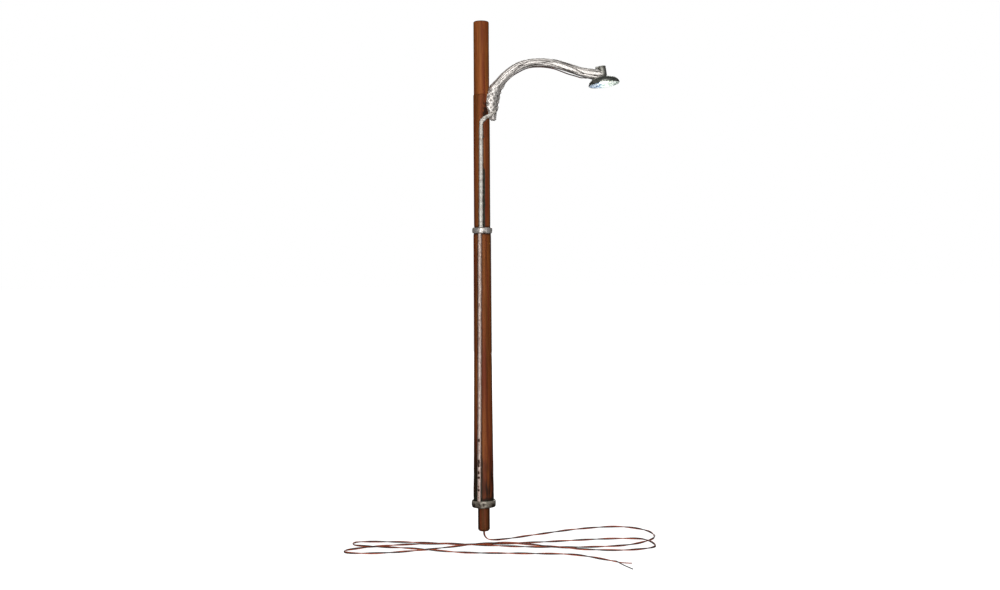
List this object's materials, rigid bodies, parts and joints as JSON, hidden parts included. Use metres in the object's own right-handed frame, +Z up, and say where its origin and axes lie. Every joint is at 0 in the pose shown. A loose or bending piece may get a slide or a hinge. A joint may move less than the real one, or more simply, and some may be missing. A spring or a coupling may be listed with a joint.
{
  "type": "model railway street lamp",
  "caption": "Model railway street lamp: round brown pole with a cast gooseneck arm, dish shade with an LED, conduit, mounting peg and a loose twisted pair of enamelled wires.",
  "frame": {"origin": "on the pole's axis at the layout's surface, at the pole's shoulder where the peg starts", "axes": "+Z up the pole, +X along the arm to the lamp, -Y to the side that the conduit is on"},
  "size_m": [0.0609, 0.0377, 0.1039],
  "materials": {
    "pole_brown": "satin brown paint over fine lengthwise grain",
    "bush": "matt",
    "cast_silver": "bright cast metal with dark wash in the hollows",
    "conduit_paint": "worn silver paint",
    "shade_metal": "dark grey metallic paint",
    "board": "white solder mask",
    "led_body": "white moulded package",
    "phosphor": "yellow phosphor",
    "lens": "clear epoxy",
    "solder": "bright solder",
    "enamel_copper": "clear enamel over copper",
    "enamel_dark": "dark enamel"
  },
  "bodies": {
    "root": {"pole_lower_section": "pole_brown", "pole_middle_section": "pole_brown", "pole_top_section": "pole_brown", "mounting_peg": "pole_brown", "peg_bush": "bush", "middle_band": "cast_silver", "base_band": "cast_silver", "conduit_lower": "conduit_paint", "conduit_upper": "conduit_paint", "gooseneck_arm": "cast_silver", "lamp_socket": "cast_silver", "socket_cap": "cast_silver", "shade": "shade_metal", "led_board": "board", "led_package": "led_body", "led_window": "phosphor", "led_lens": "lens", "solder_joint_copper": "solder", "solder_joint_dark": "solder", "feed_strand_copper": "enamel_copper", "feed_strand_dark": "enamel_dark", "lead_pair": "enamel_copper", "lead_tail_copper": "enamel_copper", "lead_tail_dark": "enamel_dark"}
  },
  "joints": []
}
